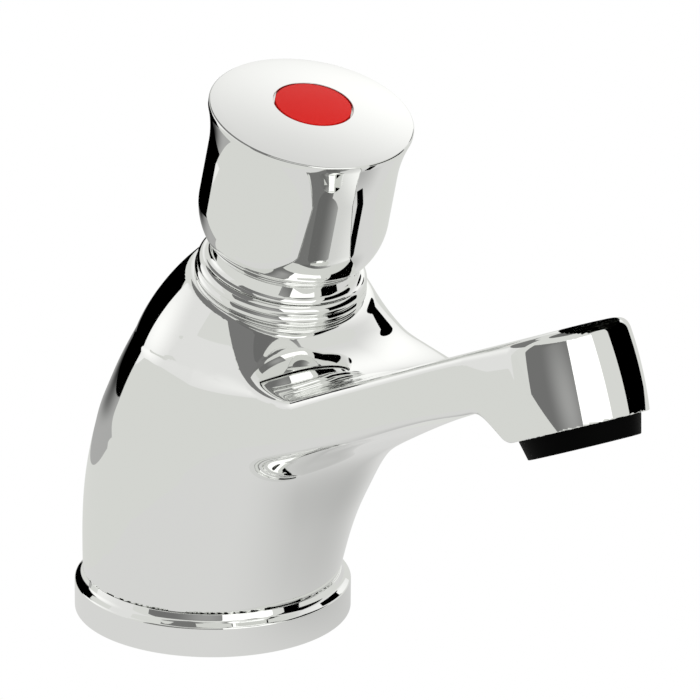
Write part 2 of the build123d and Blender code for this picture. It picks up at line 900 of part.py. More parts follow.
def return_spring():
    length = spring_cup_distance - bush_top
    coil = coil_spring(
        return_spring_coil_radius,
        return_spring_turns,
        length - 2 * rest_gap,
        return_spring_wire_radius,
    )
    return on_head(Pos(0, 0, bush_top + rest_gap) * coil)


# The button's outside, read by the disc and the screw too
belly_top = button_mouth_distance + button_belly_height
belly_width = button_waist_radius + button_belly_swell
belly_sag = button_belly_radius - sqrt(button_belly_radius**2 - button_belly_height**2)
mouth_edge = belly_width - belly_sag
flare_bottom = button_rim_distance - button_flare_height
rim_top = button_rim_distance + button_rim_band
dome_edge = button_rim_radius - button_edge
dome_bottom = rim_top + button_edge
dome_radius = (dome_edge**2 + button_dome_rise**2) / (2 * button_dome_rise)
dome_centre = dome_bottom + button_dome_rise - dome_radius
recess_radius = indice_radius + indice_gap
recess_edge_height = dome_centre + sqrt(dome_radius**2 - recess_radius**2)
recess_floor = recess_edge_height - indice_thickness
head_floor = recess_floor - screw_head_height - rest_gap


def dome_height(radius):
    return dome_centre + sqrt(dome_radius**2 - radius**2)


def arc_points(start, middle, end):
    # A flat curve as a few straight steps, so that the turned form stays light
    arc = ThreePointArc(start, middle, end)
    places = [arc @ (step / profile_steps) for step in range(profile_steps + 1)]
    return [(place.X, place.Y) for place in places]


def push_button():
    # A flared rim over a straight barrel with a rounded belly, hollow below, with a boss for the stem
    flare_width = button_rim_radius - button_waist_radius
    flare_radius = (flare_width**2 + button_flare_height**2) / (2 * flare_width)
    half_turn = asin(button_flare_height / flare_radius) / 2
    flare_middle = (
        button_waist_radius + flare_radius * (1 - cos(half_turn)),
        flare_bottom + flare_radius * sin(half_turn),
    )
    belly_half = asin(button_belly_height / button_belly_radius) / 2
    belly_middle = (
        belly_width - button_belly_radius * (1 - cos(belly_half)),
        belly_top - button_belly_radius * sin(belly_half),
    )
    dome_middle_radius = (dome_edge + recess_radius) / 2
    screw_hole = screw_shank_radius + curve_clearance
    socket = stem_radius + seat_clearance
    socket_floor = stem_top + seat_clearance
    inside = [
        (recess_radius, recess_edge_height),
        (recess_radius, recess_floor),
        (screw_head_radius + curve_clearance, recess_floor),
        (screw_head_radius + curve_clearance, head_floor),
        (screw_hole, head_floor),
        (screw_hole, socket_floor),
        (socket, socket_floor),
        (socket, boss_bottom),
        (button_boss_radius, boss_bottom),
        (button_boss_radius, button_cavity_top),
        (button_cavity_radius, button_cavity_top),
        (button_cavity_radius, button_mouth_distance + button_lip_height),
        (button_mouth_radius, button_mouth_distance + button_lip_height),
        (button_mouth_radius, button_mouth_distance),
        (mouth_edge, button_mouth_distance),
    ]
    belly = arc_points((mouth_edge, button_mouth_distance), belly_middle, (belly_width, belly_top))
    flare = arc_points(
        (button_waist_radius, flare_bottom), flare_middle, (button_rim_radius, button_rim_distance)
    )
    dome = arc_points(
        (dome_edge, dome_bottom),
        (dome_middle_radius, dome_height(dome_middle_radius)),
        (recess_radius, recess_edge_height),
    )
    shell = turned(*inside[:-1], *belly, *flare, (button_rim_radius, rim_top), *dome[:-1])
    notch = Pos(recess_radius, 0, recess_floor) * Cylinder(
        indice_notch_radius, 2 * indice_thickness, align=(Align.CENTER, Align.CENTER, Align.MIN)
    )
    return on_head(shell - Rot(0, 0, indice_notch_angle) * notch)


def indice_disc():
    # The coloured disc in the button's recess, a little domed like the button
    top = dome_height(0)
    edge_height = dome_height(indice_radius)
    bottom = recess_floor + seat_clearance
    middle = indice_radius / 2
    dome = arc_points((indice_radius, edge_height), (middle, dome_height(middle)), (0, top))
    return on_head(turned((0, bottom), (indice_radius, bottom), *dome))


def button_screw():
    head_bottom = head_floor + seat_clearance
    head_top = head_bottom + screw_head_height
    screw = turned(
        (0, stem_top - screw_grip),
        (screw_shank_radius, stem_top - screw_grip),
        (screw_shank_radius, head_bottom),
        (screw_head_radius, head_bottom),
        (screw_head_radius, head_top),
        (0, head_top),
    )
    slot = Pos(0, 0, head_top) * Box(3 * screw_head_radius, screw_slot_width, 2 * screw_slot_depth)
    return on_head(screw - slot)


insert_bottom = -insert_drop
insert_shelf = insert_bottom + insert_drop / 2
straightener_bottom = insert_shelf + seat_clearance
straightener_top = straightener_bottom + straightener_height
insert_inside = insert_bore_radius - seat_clearance


def outlet_insert():
    # The dark ring that shows under the nose, screwed up into it
    shelf = insert_bore_radius - straightener_rim
    flange_top = -seat_clearance
    insert = turned(
        (shelf, insert_bottom),
        (insert_bottom_radius, insert_bottom),
        (insert_top_radius, flange_top),
        (insert_thread_radius, flange_top),
        (insert_thread_radius, insert_thread_height),
        (insert_bore_radius, insert_thread_height),
        (insert_bore_radius, insert_shelf),
        (shelf, insert_shelf),
    )
    return on_spout(insert)


def outlet_seal():
    bottom = insert_thread_height + seat_clearance
    top = nose_bore_depth - seat_clearance
    return on_spout(tube(insert_thread_radius - curve_clearance, insert_bore_radius, bottom, top))


def flow_straightener():
    # A round grid that turns the water into one clean jet
    rim = tube(insert_inside, insert_inside - straightener_rim, straightener_bottom, straightener_top)
    count = ceil(insert_inside / straightener_pitch)
    ribs = None
    for step in range(-count + 1, count):
        place = step * straightener_pitch
        half = sqrt((insert_inside - straightener_rim / 2) ** 2 - place**2)
        along = Pos(0, place, 0) * Box(
            2 * half, straightener_rib, straightener_height, align=(Align.CENTER, Align.CENTER, Align.MIN)
        )
        across = Rot(0, 0, 90) * along
        ribs = along + across if ribs is None else ribs + along + across
    return on_spout(rim + Pos(0, 0, straightener_bottom) * ribs)


def outlet_screen():
    bottom = straightener_top + seat_clearance
    disc = rod(insert_inside, bottom, bottom + screen_thickness)
    hole = extrude(RegularPolygon(screen_hole_radius, screen_hole_sides), 3 * screen_thickness)
    hole = Pos(0, 0, bottom - screen_thickness) * hole
    holes = [hole]
    for ring in range(1, screen_ring_count + 1):
        for turn in range(6 * ring):
            holes.append(Rot(0, 0, 360 * turn / (6 * ring)) * (Pos(ring * screen_ring_step, 0, 0) * hole))
    return on_spout(disc - holes)


os.makedirs("parts", exist_ok=True)

write(tap_body(), "tap_body")
write(base_plate(), "base_plate")
write(base_gasket(), "base_gasket")
write(inlet_tail(), "inlet_tail")
write(backnut(), "backnut")
write(backnut_washer(), "backnut_washer")
write(inlet_strainer(), "inlet_strainer")
write(flow_regulator(), "flow_regulator")
write(cartridge_housing(), "cartridge_housing")
write(housing_ring(lower_ring_distance), "housing_lower_ring")
write(housing_ring(upper_ring_distance), "housing_upper_ring")
write(valve_seat(), "valve_seat")
write(spring_ledge(), "spring_ledge")
write(bonnet_gasket(), "bonnet_gasket")
write(bonnet_collar(), "bonnet_collar")
write(stem_seal(), "stem_seal")
write(stem_bush(), "stem_bush")
write(outlet_insert(), "outlet_insert")
write(outlet_seal(), "outlet_seal")
write(flow_straightener(), "flow_straightener")
write(outlet_screen(), "outlet_screen")
write(piston(), "piston")
write(piston_cup_seal(), "piston_cup_seal")
write(valve_spindle(), "valve_spindle")
write(seat_washer(), "seat_washer")
write(washer_plate(), "washer_plate")
write(washer_nut(), "washer_nut")
write(timing_pin(), "timing_pin")
write(main_spring(), "main_spring")
write(push_stem(), "push_stem")
write(spring_cup(), "spring_cup")
write(stem_clip(), "stem_clip")
write(return_spring(), "return_spring")
write(button_screw(), "button_screw")
write(push_button(), "push_button")
write(indice_disc(), "indice_disc")
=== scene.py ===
import json
import math

import bpy
import numpy as np
from mathutils import Matrix, Vector


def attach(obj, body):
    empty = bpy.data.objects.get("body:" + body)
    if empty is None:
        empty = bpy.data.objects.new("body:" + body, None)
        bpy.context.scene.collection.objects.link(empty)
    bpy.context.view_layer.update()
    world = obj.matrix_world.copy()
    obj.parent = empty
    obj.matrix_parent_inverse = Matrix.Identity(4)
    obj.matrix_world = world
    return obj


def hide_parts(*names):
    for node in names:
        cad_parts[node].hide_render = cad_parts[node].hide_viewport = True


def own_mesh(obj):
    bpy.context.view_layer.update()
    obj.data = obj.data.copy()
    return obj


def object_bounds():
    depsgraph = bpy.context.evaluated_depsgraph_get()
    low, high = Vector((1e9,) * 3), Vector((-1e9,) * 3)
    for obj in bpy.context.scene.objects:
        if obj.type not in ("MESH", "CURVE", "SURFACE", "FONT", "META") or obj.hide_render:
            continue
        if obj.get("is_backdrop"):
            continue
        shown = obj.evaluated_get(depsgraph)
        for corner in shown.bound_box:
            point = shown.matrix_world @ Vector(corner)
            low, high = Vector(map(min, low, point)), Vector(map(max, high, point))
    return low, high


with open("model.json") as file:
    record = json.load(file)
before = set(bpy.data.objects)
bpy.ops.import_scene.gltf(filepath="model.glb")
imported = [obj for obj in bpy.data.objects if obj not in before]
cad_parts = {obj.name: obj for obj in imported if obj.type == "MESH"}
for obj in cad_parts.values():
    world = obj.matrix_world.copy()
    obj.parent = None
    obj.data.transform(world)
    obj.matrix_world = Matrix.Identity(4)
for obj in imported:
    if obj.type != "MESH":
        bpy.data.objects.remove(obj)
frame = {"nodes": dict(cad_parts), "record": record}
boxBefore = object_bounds()
print("frame loaded")

# Lengths are in millimetres until a mesh is made
mm = 0.001

# The head's axis leans towards the spout, and the nose's axis leans back with the spout's rise
headTilt = math.radians(15.82)
headSetback = 1.65
spoutRise = math.radians(24.88)
outletReach = 107.06
outletHeight = 68.18
collarSeat = 70.9
footHeight = 7.6

upright = Matrix.Identity(4)
headFrame = Matrix.Translation((0, -headSetback, 0)) @ Matrix.Rotation(headTilt, 4, "X")
noseFrame = Matrix.Translation((0, -outletReach, outletHeight)) @ Matrix.Rotation(-spoutRise, 4, "X")


# Mesh helpers

filletStep = 9.0  # degrees between the points round a fillet
leastTurn = 0.02  # a smaller turn, in radians, gets no fillet
onAxis = 1e-6  # a smaller radius is one point on the axis
wireEdge = math.radians(50)  # keeps a wire's flat ends sharp


def newObject(name, mesh):
    piece = bpy.data.objects.new(name, mesh)
    bpy.context.scene.collection.objects.link(piece)
    return piece


def smoothMesh(name, points, faces, normals=None, loopNormals=None):
    mesh = bpy.data.meshes.new(name)
    mesh.from_pydata([tuple(p) for p in np.asarray(points) * mm], [], faces)
    mesh.update()
    mesh.shade_smooth()
    if normals is not None:
        mesh.normals_split_custom_set_from_vertices([tuple(n) for n in normals])
    if loopNormals is not None:
        mesh.normals_split_custom_set([tuple(n) for n in loopNormals])
    return newObject(name, mesh)


def placed(points, place):
    turn = np.array(place.to_3x3())
    return np.asarray(points) @ turn.T + np.array(place.translation)


def unit(v):
    return v / max(np.linalg.norm(v), 1e-9)


def outlineOf(corners):
    # Corners are (radius, height, fillet). A fillet of None is a point on a smooth curve.
    points = []
    count = len(corners)
    for i, (r, h, fillet) in enumerate(corners):
        here = np.array([r, h], float)
        before = unit(here - np.array(corners[i - 1][:2], float))
        after = unit(np.array(corners[(i + 1) % count][:2], float) - here)
        if fillet is None:
            along = unit(before + after)
            points.append((here, along, along))
            continue
        turn = math.atan2(before[0] * after[1] - before[1] * after[0], before @ after)
        if not fillet or abs(turn) < leastTurn:
            points.append((here, before, after))
            continue
        start = here - before * fillet * math.tan(abs(turn) / 2)
        side = np.array([-before[1], before[0]]) * math.copysign(1, turn)
        centre = start + side * fillet
        steps = max(2, math.ceil(abs(math.degrees(turn)) / filletStep))
        for step in range(steps + 1):
            a = turn * step / steps
            spin = np.array([[math.cos(a), -math.sin(a)], [math.sin(a), math.cos(a)]])
            along = spin @ before
            points.append((centre + spin @ (start - centre), along, along))
    return points


def arc(start, middle, end, steps):
    # Smooth curve through three points, without its two ends
    (ax, ay), (bx, by), (cx, cy) = start, middle, end
    d = 2 * (ax * (by - cy) + bx * (cy - ay) + cx * (ay - by))
    a2, b2, c2 = ax * ax + ay * ay, bx * bx + by * by, cx * cx + cy * cy
    ux = (a2 * (by - cy) + b2 * (cy - ay) + c2 * (ay - by)) / d
    uy = (a2 * (cx - bx) + b2 * (ax - cx) + c2 * (bx - ax)) / d
    radius = math.hypot(ax - ux, ay - uy)
    first = math.atan2(ay - uy, ax - ux)
    last = math.atan2(cy - uy, cx - ux)
    turn = (last - first + math.pi) % (2 * math.pi) - math.pi
    run = []
    for step in range(1, steps):
        a = first + turn * step / steps
        run.append((ux + radius * math.cos(a), uy + radius * math.sin(a), None))
    return run


def turned(name, corners, place, around=160):
    # A closed outline turned about the place's Z, listed anticlockwise, with true normals on each face
    outline = outlineOf(corners)
    rows = len(outline)
    angles = [2 * math.pi * k / around for k in range(around)]
    points, index = [], []
    for point, _, _ in outline:
        if point[0] < onAxis:
            index.append([len(points)] * around)
            points.append((0, 0, point[1]))
            continue
        index.append(list(range(len(points), len(points) + around)))
        points += [(point[0] * math.cos(a), point[0] * math.sin(a), point[1]) for a in angles]
    faces, normals = [], []
    turn = np.array(place.to_3x3())
    for i in range(rows):
        j = (i + 1) % rows
        if outline[i][0][0] < onAxis and outline[j][0][0] < onAxis:
            continue
        low, high = outline[i][2], outline[j][1]
        for k in range(around):
            m = (k + 1) % around
            square = [(index[i][k], low, k), (index[i][m], low, m)]
            square += [(index[j][m], high, m), (index[j][k], high, k)]
            kept = {}
            for corner, along, spot in square:
                kept.setdefault(corner, (along, angles[spot]))
            faces.append(list(kept))
            for along, a in kept.values():
                normals.append(turn @ np.array([along[1] * math.cos(a), along[1] * math.sin(a), -along[0]]))
    return smoothMesh(name, placed(points, place), faces, loopNormals=normals)


def sweptWire(name, path, radius, place, sides=12):
    # A round wire along points, with flat ends
    path = np.asarray(path, float)
    along = np.gradient(path, axis=0)
    along /= np.linalg.norm(along, axis=1)[:, None]
    out = path * [1, 1, 0]
    out /= np.linalg.norm(out, axis=1)[:, None]
    side = np.cross(along, out)
    side /= np.linalg.norm(side, axis=1)[:, None]
    out = np.cross(side, along)
    points = []
    for p, u, v in zip(path, out, side):
        for k in range(sides):
            a = 2 * math.pi * k / sides
            points.append(p + radius * (u * math.cos(a) + v * math.sin(a)))
    faces = []
    for i in range(len(path) - 1):
        for k in range(sides):
            m = (k + 1) % sides
            faces.append([i * sides + m, i * sides + k, (i + 1) * sides + k, (i + 1) * sides + m])
    faces.append(list(range(sides)))
    faces.append([(len(path) - 1) * sides + k for k in reversed(range(sides))])
    piece = smoothMesh(name, placed(points, place), faces)
    piece.data.set_sharp_from_angle(angle=wireEdge)
    return piece


def standsFor(piece, node, body, slotName):
    piece.data.materials.clear()
    piece.data.materials.append(finishes[slotName])
    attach(piece, body)
    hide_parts(node)


# Materials. Roughness runs between two values, with a noise scale per metre

plasticScale = 200
noiseDetail = 3
grainDepth = 0.0001  # metres
sharpAngle = math.radians(25)


def newMaterial(name):
    material = bpy.data.materials.new(name)
    material.use_nodes = True
    tree = material.node_tree
    return material, tree, tree.nodes["Principled BSDF"]


def varied(tree, shader, socket, low, high, scale):
    # A faint procedural unevenness on one socket
    place = tree.nodes.new("ShaderNodeTexCoord")
    noise = tree.nodes.new("ShaderNodeTexNoise")
    noise.inputs["Scale"].default_value = scale
    noise.inputs["Detail"].default_value = noiseDetail
    spread = tree.nodes.new("ShaderNodeMapRange")
    spread.inputs["To Min"].default_value = low
    spread.inputs["To Max"].default_value = high
    tree.links.new(place.outputs["Object"], noise.inputs["Vector"])
    tree.links.new(noise.outputs["Fac"], spread.inputs["Value"])
    tree.links.new(spread.outputs["Result"], shader.inputs[socket])
    return noise


def metal(name, colour, rough, scale):
    material, tree, shader = newMaterial(name)
    shader.inputs["Base Color"].default_value = (*colour, 1)
    shader.inputs["Metallic"].default_value = 1
    varied(tree, shader, "Roughness", *rough, scale)
    return material


def plastic(name, colour, rough, specular, grain=0.0):
    material, tree, shader = newMaterial(name)
    shader.inputs["Base Color"].default_value = (*colour, 1)
    shader.inputs["Specular IOR Level"].default_value = specular
    noise = varied(tree, shader, "Roughness", *rough, plasticScale)
    if grain:
        bump = tree.nodes.new("ShaderNodeBump")
        bump.inputs["Strength"].default_value = grain
        bump.inputs["Distance"].default_value = grainDepth
        tree.links.new(noise.outputs["Fac"], bump.inputs["Height"])
        tree.links.new(bump.outputs["Normal"], shader.inputs["Normal"])
    return material


finishes = {
    "polished_chrome": metal("polished_chrome", colour=(0.93, 0.935, 0.925), rough=(0.015, 0.03), scale=30),
    "red_plastic": plastic("red_plastic", colour=(0.95, 0.016, 0.012), rough=(0.3, 0.38), specular=0.1),
    "black_plastic": plastic(
        "black_plastic", colour=(0.0012, 0.0012, 0.0012), rough=(0.5, 0.6), specular=0.03, grain=0.1
    ),
    "white_plastic": plastic("white_plastic", colour=(0.78, 0.78, 0.74), rough=(0.35, 0.5), specular=0.5),
    "brass": metal("brass", colour=(0.74, 0.54, 0.25), rough=(0.2, 0.32), scale=90),
    "steel": metal("steel", colour=(0.6, 0.59, 0.57), rough=(0.22, 0.34), scale=90),
    "black_rubber": plastic(
        "black_rubber", colour=(0.02, 0.02, 0.02), rough=(0.6, 0.75), specular=0.4, grain=0.3
    ),
}
for row in frame["record"]["subparts"]:
    node = frame["nodes"][row["node"]]
    node.data.materials.clear()
    node.data.materials.append(finishes[row["material_slot"]])
    node.data.shade_smooth()
    node.data.set_sharp_from_angle(angle=sharpAngle)
print("materials made")


# The cast body

# Heights from the foot to the shoulder, with the trunk's lean, back radius, side taper and front corner
body = {
    "heights": (7.6, 16, 25, 34, 43, 50, 57),
    "leans": (0, 0, 1.2, 4.1, 8.1, 11.4, 15.4),
    "backs": (23.5, 23.5, 23.6, 23.75, 23.7, 23.0, 22.2),
    "tapers": (0, 0.5, 2.4, 4.6, 6.24, 6.24, 6.24),
    "corners": (22.9, 22.2, 19.9, 16.0, 10.6, 5.6, 2.4),
    "front": ((22.9, 7.6), (25.1, 14), (27.5, 20), (30.3, 26), (32.4, 30.5), (34.6, 34.4), (38.2, 38.6)),
    "underside": (
        (45.4, 44),
        (54.3, 49.6),
        (63.8, 54.6),
        (73.5, 59.6),
        (83, 64.2),
        (87.8, 66.2),
        (92.5, 68.1),
        (97.4, 69.2),
        (101.8, 68.3),
    ),
    "shoulder": {
        "lean": (15.4, 20.98),
        "height": (57.03, 68.215),
        "back": (22.2, 16.1),
        "reach": (29.6, 16.0),
        "half": (18.75, 16.1),
        "corner": (2.08, 15.95),
        "cornerPower": 0.62,
        "leastCorner": 0.3,
        "cornerGap": 0.05,
        "start": 0.37,
        "roundness": 1.9,
        "fall": 9,
        "firstGuess": (19, -0.15),
        "limits": (-1.2, 1.6),
        "nudge": 1e-3,
        "rounds": 8,
    },
    "ridge": 57.0,
    "clearAbove": 2.5,
    "shoulderShare": 0.6,  # scales the shoulder's field ahead of the valley's fillet
    "valleyFillet": 8.0,
    "wallsMeet": (36, 9),
    "mostTaper": 6.24,
    "sideTaper": math.radians(6.87),
    "leastCorner": 1.6,
    "cornerBlend": 3,
    "topCrown": 0.5,
    "crownHalf": 15,
    "noseRadius": 11.65,
    "noseHeight": 15.5,
    "noseBulge": 0.45,
    "bulgeLimit": 1.6,
    "bulgeZone": (20, 16),
    "noseEdge": 1.1,
    "noseFillet": 4.5,
    "lipReach": 11.8,
    "lipSlope": 1.5,
    "seatEdge": 0.7,
    "seatEnd": -45,
    # Places along Y, each with the width of the soft crease there
    "creases": (
        (-130, 2.2),
        (-102, 2.0),
        (-92, 1.3),
        (-60, 1.6),
        (-46, 2.0),
        (-40, 2.3),
        (-25, 2.2),
        (-8, 0.3),
        (60, 0.1),
    ),
    # Bores as radius, low end and high end along their axis
    "chamber": ((5.6, 17.5, 30), (10.0, 29.0, 80), (11.6, 36.2, 43), (12.4, 60, 80)),
    "inlet": ((10.48, 0, 18.9), (5.6, 10, 31)),
    "outlet": ((9.25, -5, 8.2),),
    # Ends of each stretch of rows, then each stretch's share of the step
    "net": {
        "step": 0.6,
        "across": ((-26, 26), (0.85,)),
        "along": ((-121, -95, 24.5), (0.5, 1)),
        "up": ((6.6, 62, 76, 86), (1, 0.5, 1)),
        "pulls": 5,
        "longestPull": 0.5,
        "leastSlope": 0.2,
    },
}


def spline(places, values):
    # Natural cubic through a few values, straight beyond its ends
    x, y = np.array(places, float), np.array(values, float)
    n = len(x)
    h = np.diff(x)
    system, right = np.eye(n), np.zeros(n)
    for i in range(1, n - 1):
        system[i, i - 1 : i + 2] = h[i - 1], 2 * (h[i - 1] + h[i]), h[i]
        right[i] = 6 * ((y[i + 1] - y[i]) / h[i] - (y[i] - y[i - 1]) / h[i - 1])
    m = np.linalg.solve(system, right)

    def value(at):
        inside = np.clip(at, x[0], x[-1])
        k = np.clip(np.searchsorted(x, inside) - 1, 0, n - 2)
        a, b = x[k + 1] - inside, inside - x[k]
        v = (m[k] * a**3 + m[k + 1] * b**3) / (6 * h[k])
        v = v + (y[k] / h[k] - m[k] * h[k] / 6) * a + (y[k + 1] / h[k] - m[k + 1] * h[k] / 6) * b
        first = (y[1] - y[0]) / h[0] - h[0] * m[1] / 6
        last = (y[-1] - y[-2]) / h[-1] + h[-1] * m[-2] / 6
        return v + np.minimum(at - x[0], 0) * first + np.maximum(at - x[-1], 0) * last

    return value


def maxRound(a, b, k):
    return np.minimum(-k, np.maximum(a, b)) + np.hypot(np.maximum(a + k, 0), np.maximum(b + k, 0))


def maxSoft(a, b, width):
    # Rounds a shallow ridge, where maxRound would cut too deep
    return np.maximum(a, b) + np.maximum(width - np.abs(a - b), 0) ** 2 / (4 * width)


def minRound(a, b, k):
    return np.maximum(k, np.minimum(a, b)) - np.hypot(np.maximum(k - a, 0), np.maximum(k - b, 0))


leanAt = spline(body["heights"], body["leans"])
backAt = spline(body["heights"], body["backs"])
taperAt = spline(body["heights"], body["tapers"])
cornerAt = spline(body["heights"], body["corners"])
frontLine = body["front"] + body["underside"]
frontAlong = [(y + z) / math.sqrt(2) for y, z in frontLine]
frontAcross = [(y - z) / math.sqrt(2) for y, z in frontLine]
frontAt = spline(frontAlong, frontAcross)


def between(pair, share):
    return pair[0] + (pair[1] - pair[0]) * share


def shoulderField(x, y, z):
    # Signed distance to the section that passes through each point, from the trunk's last to the collar's
    s = body["shoulder"]

    def offPlane(t):
        tilt = headTilt * np.maximum(t, 0)
        return -(y + between(s["lean"], t)) * np.sin(tilt) + (z - between(s["height"], t)) * np.cos(tilt)

    low, high = s["height"]
    setback, slant = s["firstGuess"]
    t = (z - low + (y + setback) * slant) / (high - low)
    for _ in range(s["rounds"]):
        off = offPlane(t)
        slope = offPlane(t + s["nudge"]) - off
        t = np.clip(t - off * s["nudge"] / np.minimum(slope, -1e-6), *s["limits"])
    tilt = headTilt * np.maximum(t, 0)
    q = (y + between(s["lean"], t)) * np.cos(tilt) + (z - between(s["height"], t)) * np.sin(tilt)
    p = np.abs(x)
    # The back goes on from the trunk's slope, then bends in
    eased = s["start"] * t + (1 - s["start"]) * np.sign(t) * np.abs(t) ** s["roundness"]
    early = np.sign(t) * np.abs(t) ** s["cornerPower"]
    back, reach, half = between(s["back"], eased), between(s["reach"], t), between(s["half"], t)
    corner = between(s["corner"], early)
    corner = np.clip(corner, s["leastCorner"], np.minimum(half, reach) - s["cornerGap"])
    bx, by = half - corner, corner - reach
    span = np.hypot(bx, by)
    lead = np.arctan2(by, bx) + np.arccos(np.clip((back - corner) / span, -1, 1))
    nx, ny = np.cos(lead), np.sin(lead)
    along = p * ny - q * nx
    reachAlong = bx * ny - by * nx
    side = np.where(along < 0, np.hypot(p, q) - back, p * nx + q * ny - back)
    field = np.maximum(side, -q - reach)
    atCorner = (along > reachAlong) & (p > bx)
    field = np.where(atCorner, np.hypot(p - bx, q - by) - corner, field)
    return field - s["fall"] * np.maximum(-t, 0)


def headPlace(y, z):
    # Distance from the head's axis in its own plane, and along the axis
    across = (y + headSetback) * math.cos(headTilt) + z * math.sin(headTilt)
    along = -(y + headSetback) * math.sin(headTilt) + z * math.cos(headTilt)
    return across, along


def nosePlace(y, z):
    across = (y + outletReach) * math.cos(spoutRise) - (z - outletHeight) * math.sin(spoutRise)
    along = (y + outletReach) * math.sin(spoutRise) + (z - outletHeight) * math.cos(spoutRise)
    return across, along


def outsideField(x, y, z):
    b, v = nosePlace(y, z)
    px = np.abs(x)
    w = body["sideTaper"]
    r = body["noseRadius"]
    # Walls: a round back with straight sides that touch it, which run on to the nose
    meet, meetSpan = body["wallsMeet"]
    fit = np.clip((z - meet) / meetSpan, 0, 1)
    fit = fit * fit * (3 - 2 * fit)
    lean = leanAt(z)
    level = math.atan(math.tan(w) * math.cos(spoutRise))
    scale = math.hypot(math.cos(w), math.cos(spoutRise) * math.sin(w))
    rise = outletReach * math.cos(spoutRise) - (z - outletHeight) * math.sin(spoutRise)
    wallBack = (rise * math.sin(w) + r) / scale - lean * math.sin(level)
    back = backAt(z) * (1 - fit) + wallBack * fit
    taper = np.radians(np.clip(taperAt(z), 0, body["mostTaper"])) * (1 - fit) + level * fit
    c = y + lean
    straight = px * np.cos(taper) - c * np.sin(taper) - back
    # Above the ridge the shoulder shapes the back, and the walls stand clear of it
    above = np.maximum(z - body["ridge"], 0)
    ridgeLean = leanAt(np.minimum(z, body["ridge"]))
    ridgeRise = rise + above * math.sin(spoutRise)
    ridgeBack = (ridgeRise * math.sin(w) + r) / scale - ridgeLean * math.sin(level)
    outward = np.where(above > 0, ridgeBack, back)
    rounded = np.hypot(px, y + ridgeLean) - outward - body["clearAbove"] * above
    walls = np.where(c * np.cos(taper) + px * np.sin(taper) < 0, straight, rounded)
    # The nose's wall bellies a little at half its height
    middle = body["noseHeight"] / 2
    bulge = body["noseBulge"] * (np.minimum(((v - middle) / middle) ** 2, body["bulgeLimit"]) - 1)
    zoneEnd, zoneSpan = body["bulgeZone"]
    noseZone = np.clip((zoneEnd - b) / zoneSpan, 0, 1)
    bulge = bulge * noseZone * noseZone * (3 - 2 * noseZone)
    walls = np.where(px * math.sin(w) + b * math.cos(w) < 0, np.hypot(px, b) - r, walls) + bulge
    # Front of the trunk and underside of the spout as one line
    g, h = (-y + z) / math.sqrt(2), (-y - z) / math.sqrt(2)
    nudge = 0.05
    slope = (frontAt(g + nudge) - frontAt(g - nudge)) / (2 * nudge)
    under = (h - frontAt(g)) / np.sqrt(1 + slope * slope)
    corner = maxSoft(cornerAt(z), body["leastCorner"], body["cornerBlend"])
    crown = body["topCrown"] * (1 - (x / body["crownHalf"]) ** 2)
    shoulder = body["shoulderShare"] * shoulderField(x, y, z)
    top = minRound(shoulder, v - body["noseHeight"] - crown, body["valleyFillet"])
    creasePlaces, creases = zip(*body["creases"])
    crease = np.interp(y, creasePlaces, creases)
    lower = minRound(maxRound(walls, under, corner), np.hypot(x, b) - r + bulge, body["noseFillet"])
    beyond = np.maximum(b - body["lipReach"], 0)
    lower = maxRound(lower, -v - body["lipSlope"] * beyond, body["noseEdge"])
    field = np.maximum(maxSoft(walls, top, crease), lower)
    return np.maximum(field, footHeight - z)


def bored(field, bores, x, across, along):
    for radius, low, high in bores:
        bore = np.maximum(np.hypot(x, across) - radius, np.maximum(low - along, along - high))
        field = np.maximum(field, -bore)
    return field


def bodyField(x, y, z):
    field = outsideField(x, y, z)
    across, along = headPlace(y, z)
    seated = maxRound(field, along - collarSeat, body["seatEdge"])
    field = np.where(y > body["seatEnd"], seated, field)
    field = bored(field, body["chamber"], x, across, along)
    field = bored(field, body["inlet"], x, y, z)
    return bored(field, body["outlet"], x, *nosePlace(y, z))


def gradient(field, p, nudge=0.02):
    g = np.empty_like(p)
    for axis in range(3):
        step = np.zeros(3)
        step[axis] = nudge
        g[:, axis] = field(*(p + step).T) - field(*(p - step).T)
    return g / (2 * nudge)


